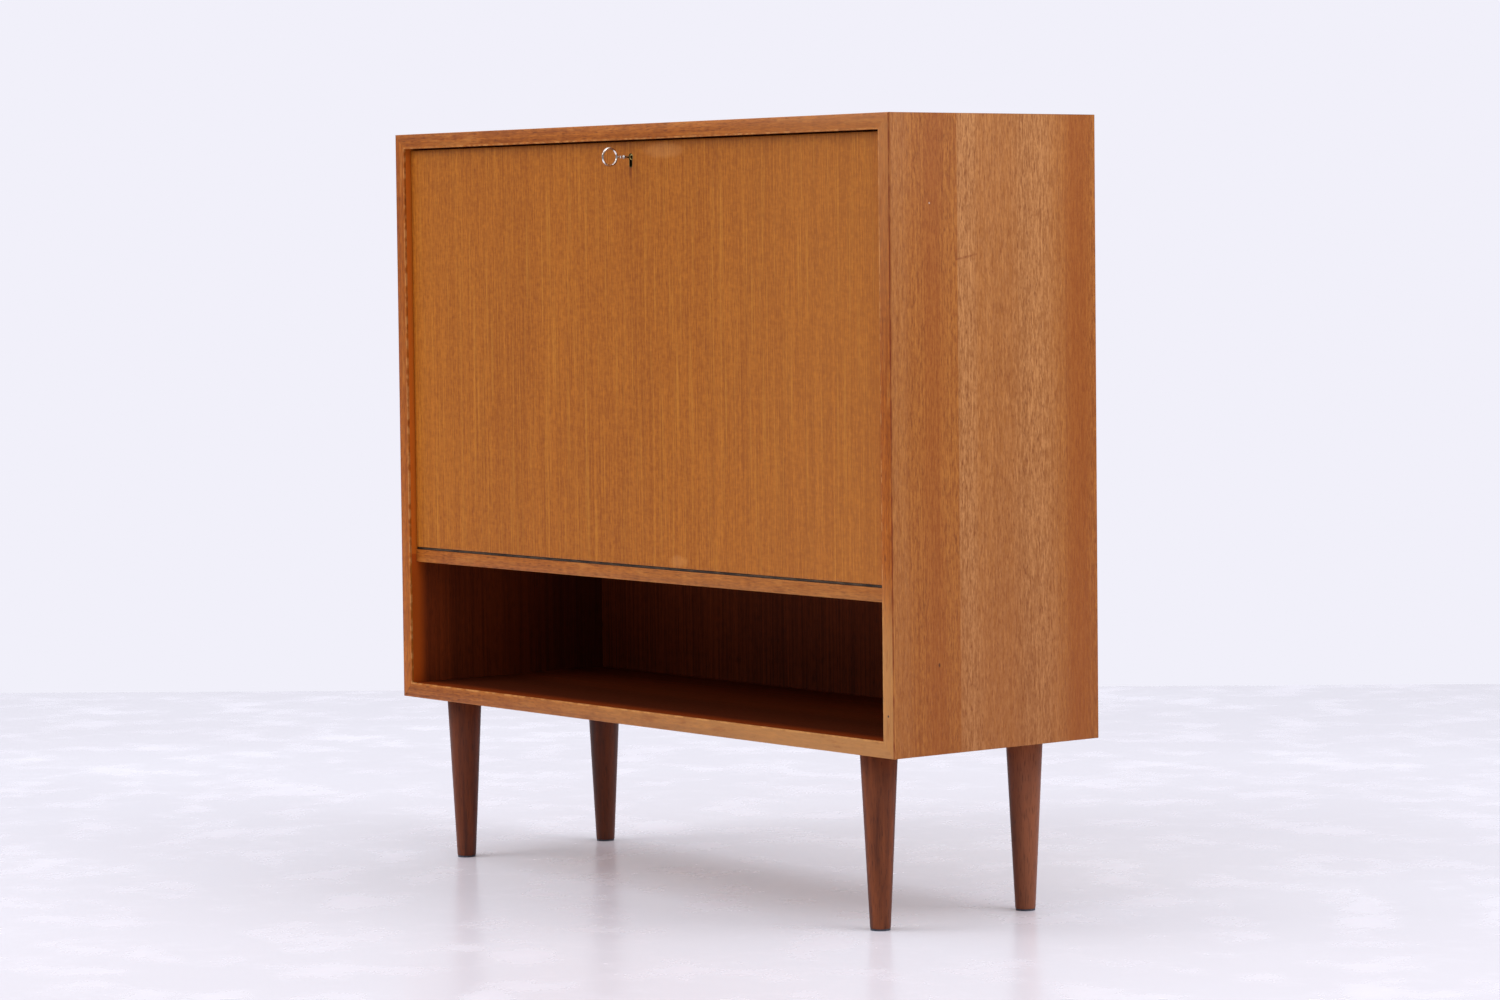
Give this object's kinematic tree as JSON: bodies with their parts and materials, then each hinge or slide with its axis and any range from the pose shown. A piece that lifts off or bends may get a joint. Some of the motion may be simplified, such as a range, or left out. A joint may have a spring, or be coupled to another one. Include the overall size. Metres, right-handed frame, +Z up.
{
  "type": "secretary desk",
  "caption": "Low secretary cabinet on round tapered legs, with a key-locked fall flap held by slotted stays, an open compartment below and an insert with pigeonholes and drawers behind it.",
  "frame": {"origin": "on the floor, at the middle of the width and of the depth measured from the key's tip to the back", "axes": "+X to the right seen from the front, +Y towards the back, +Z up"},
  "size_m": [1, 0.354, 0.95],
  "materials": {
    "carcass_veneer": "satin",
    "flap_veneer": "satin",
    "lipping_wood": "satin",
    "inner_wood": "satin",
    "drawer_front_wood": "satin",
    "walnut": "satin",
    "dark_metal": "dulled",
    "brass": "satin",
    "bright_steel": "polished",
    "steel": "zinc plated",
    "glide_plastic": "matt"
  },
  "bodies": {
    "carcass": {"side_left": "carcass_veneer", "side_right": "carcass_veneer", "top_board": "carcass_veneer", "bottom_board": "carcass_veneer", "corner_splines": "inner_wood", "lipping_left": "lipping_wood", "lipping_right": "lipping_wood", "lipping_top": "lipping_wood", "lipping_bottom": "lipping_wood", "deck_board": "carcass_veneer", "deck_lipping": "lipping_wood", "deck_dowels": "inner_wood", "back_panel": "inner_wood", "back_screws": "steel", "stop_rail": "lipping_wood", "strike_plate": "brass", "carcass_fitting_screws": "steel", "insert_ends": "inner_wood", "insert_dividers": "inner_wood", "insert_top": "inner_wood", "insert_shelves": "inner_wood", "upper_shelf": "inner_wood", "shelf_pins": "brass", "hinge_leaf_deck": "dark_metal", "hinge_pin": "steel", "stay_stud_left": "steel", "stay_stud_right": "steel", "leg_front_left": "walnut", "leg_front_right": "walnut", "leg_back_left": "walnut", "leg_back_right": "walnut", "leg_plates": "dark_metal", "leg_plate_screws": "steel", "leg_bolts": "steel", "foot_glides": "glide_plastic"},
    "flap": {"flap_board": "flap_veneer", "flap_lippings": "flap_veneer", "hinge_leaf_flap": "dark_metal", "flap_fitting_screws": "steel", "stay_bracket_left": "steel", "stay_bracket_right": "steel", "stay_rivets": "steel", "lock_case": "brass", "key_escutcheon": "brass"},
    "stay_left": {"stay_arm_left": "steel"},
    "stay_right": {"stay_arm_right": "steel"},
    "key": {"key": "bright_steel"},
    "bolt": {"lock_bolt": "brass"},
    "drawer_left": {"drawer_left_front": "drawer_front_wood", "drawer_left_sides": "inner_wood", "drawer_left_back": "inner_wood", "drawer_left_bottom": "inner_wood", "drawer_left_knob": "walnut"},
    "drawer_right": {"drawer_right_front": "drawer_front_wood", "drawer_right_sides": "inner_wood", "drawer_right_back": "inner_wood", "drawer_right_bottom": "inner_wood", "drawer_right_knob": "walnut"}
  },
  "joints": [
    {"name": "flap_fall", "type": "hinge", "parent": "carcass", "child": "flap", "pos_m": [0, -0.1314, 0.40665], "axis": [1, 0, 0], "range_deg": [0, 90]},
    {"name": "stay_left_pivot", "type": "hinge", "parent": "flap", "child": "stay_left", "pos_m": [-0.476, -0.101, 0.55516], "axis": [1, 0, 0], "range_deg": [-45, 0]},
    {"name": "stay_right_pivot", "type": "hinge", "parent": "flap", "child": "stay_right", "pos_m": [0.476, -0.101, 0.55516], "axis": [1, 0, 0], "range_deg": [-45, 0]},
    {"name": "key_turn", "type": "hinge", "parent": "flap", "child": "key", "pos_m": [0, -0.133, 0.91], "axis": [0, 1, 0], "range_deg": [0, 360]},
    {"name": "bolt_slide", "type": "slide", "parent": "flap", "child": "bolt", "axis": [0, 0, 1], "range_m": [0, 0.009]},
    {"name": "drawer_left_slide", "type": "slide", "parent": "carcass", "child": "drawer_left", "axis": [0, -1, 0], "range_m": [0, 0.1]},
    {"name": "drawer_right_slide", "type": "slide", "parent": "carcass", "child": "drawer_right", "axis": [0, -1, 0], "range_m": [0, 0.1]}
  ],
  "couplings": [
    {"joint": "stay_left_pivot", "follows": "flap_fall", "ratio": -0.5},
    {"joint": "stay_right_pivot", "follows": "flap_fall", "ratio": -0.5},
    {"joint": "bolt_slide", "follows": "key_turn", "m_per_rad": 0.0014323}
  ]
}
